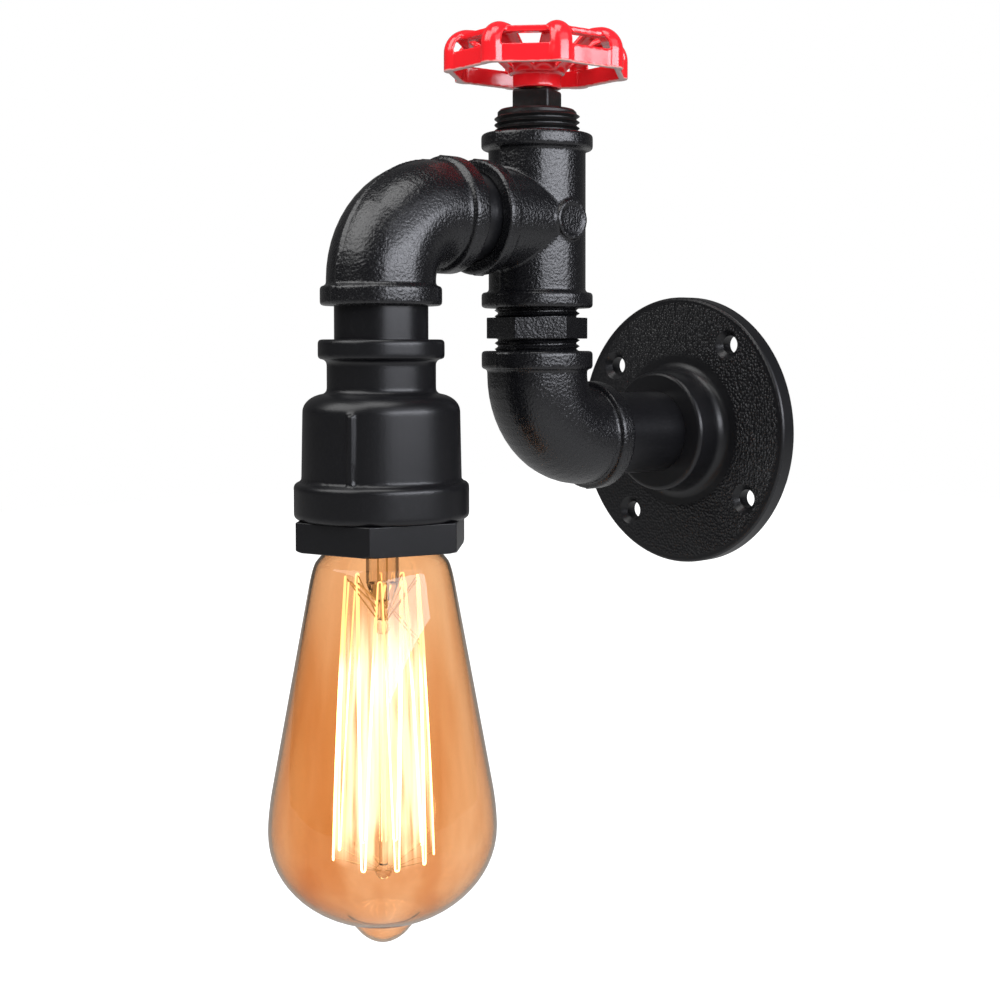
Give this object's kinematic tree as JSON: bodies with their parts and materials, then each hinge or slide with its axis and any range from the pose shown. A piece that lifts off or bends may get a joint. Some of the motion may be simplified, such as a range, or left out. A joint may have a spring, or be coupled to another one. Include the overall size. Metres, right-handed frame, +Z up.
{
  "type": "industrial pipe wall light",
  "caption": "Wall light of black iron pipe fittings: round flange, elbows and a tee with a red valve handwheel, a bell reducer with a hexagon nut, and a screw-in amber filament bulb.",
  "frame": {"origin": "centre of the wall flange's back face, on the wall", "axes": "+Z up; +Y into the wall, square to the flange; +X to the right as seen from the room"},
  "size_m": [0.0892, 0.1641, 0.2646],
  "materials": {
    "flange_black": "semi-gloss black paint over a fine cast skin",
    "pipe_black": "semi-gloss black, threads bare",
    "cast_gloss_black": "gloss black paint over an orange-peel cast skin",
    "satin_black": "satin black",
    "plug_black": "black, rough at the thread",
    "fibre_washer": "matt",
    "copper": "bright copper",
    "porcelain": "glazed",
    "nickel_plate": "nickel plated",
    "brass": "bright",
    "stem_brass": "turned",
    "zinc_steel": "zinc plated",
    "wire_black": "insulation",
    "wire_white": "insulation",
    "wire_green": "insulation",
    "packing_rubber": "matt",
    "red_enamel": "gloss red enamel, paler where worn",
    "solder": "solder",
    "black_glass": "fused black glass",
    "amber_glass": "clear amber",
    "clear_glass": "clear",
    "nickel_wire": "drawn",
    "filament_lit": "glowing carbon filament"
  },
  "bodies": {
    "root": {"wall_flange": "flange_black", "wall_nipple": "pipe_black", "lower_elbow": "cast_gloss_black", "hex_nipple": "pipe_black", "tee": "cast_gloss_black", "branch_nipple": "pipe_black", "upper_elbow": "cast_gloss_black", "drop_nipple": "pipe_black", "bell_reducer": "satin_black", "holder_nut": "satin_black", "holder_gasket": "fibre_washer", "earth_tag": "copper", "lampholder_body": "porcelain", "screw_shell": "nickel_plate", "centre_contact": "brass", "contact_rivets": "brass", "live_terminal": "brass", "neutral_terminal": "brass", "terminal_screws": "zinc_steel", "live_wire": "wire_black", "neutral_wire": "wire_white", "earth_wire": "wire_green", "wire_tips": "copper", "valve_plug": "plug_black", "stem_packing": "packing_rubber"},
    "wheel": {"valve_stem": "stem_brass", "handwheel": "red_enamel", "wheel_washer": "zinc_steel", "wheel_screw": "zinc_steel"},
    "bulb_travel": {"cap_contact": "solder"},
    "bulb_turn": {"cap_insulator": "black_glass", "bulb_cap": "nickel_plate", "bulb_glass": "amber_glass", "bulb_mount": "clear_glass", "lead_wires": "nickel_wire", "filament_hooks": "nickel_wire", "filament": "filament_lit"}
  },
  "joints": [
    {"name": "wheel_turn", "type": "hinge", "parent": "root", "child": "wheel", "pos_m": [0, -0.071, 0.1068], "axis": [0, 0, 1], "continuous": true},
    {"name": "bulb_unscrew_travel", "type": "slide", "parent": "root", "child": "bulb_travel", "axis": [0, 0, -1], "range_m": [0, 0.0182]},
    {"name": "bulb_unscrew_turn", "type": "hinge", "parent": "bulb_travel", "child": "bulb_turn", "pos_m": [0, -0.1318, -0.005], "axis": [0, 0, -1], "range_deg": [0, 1800]}
  ],
  "couplings": [
    {"joint": "bulb_unscrew_travel", "follows": "bulb_unscrew_turn", "m_per_rad": 0.00057757}
  ]
}
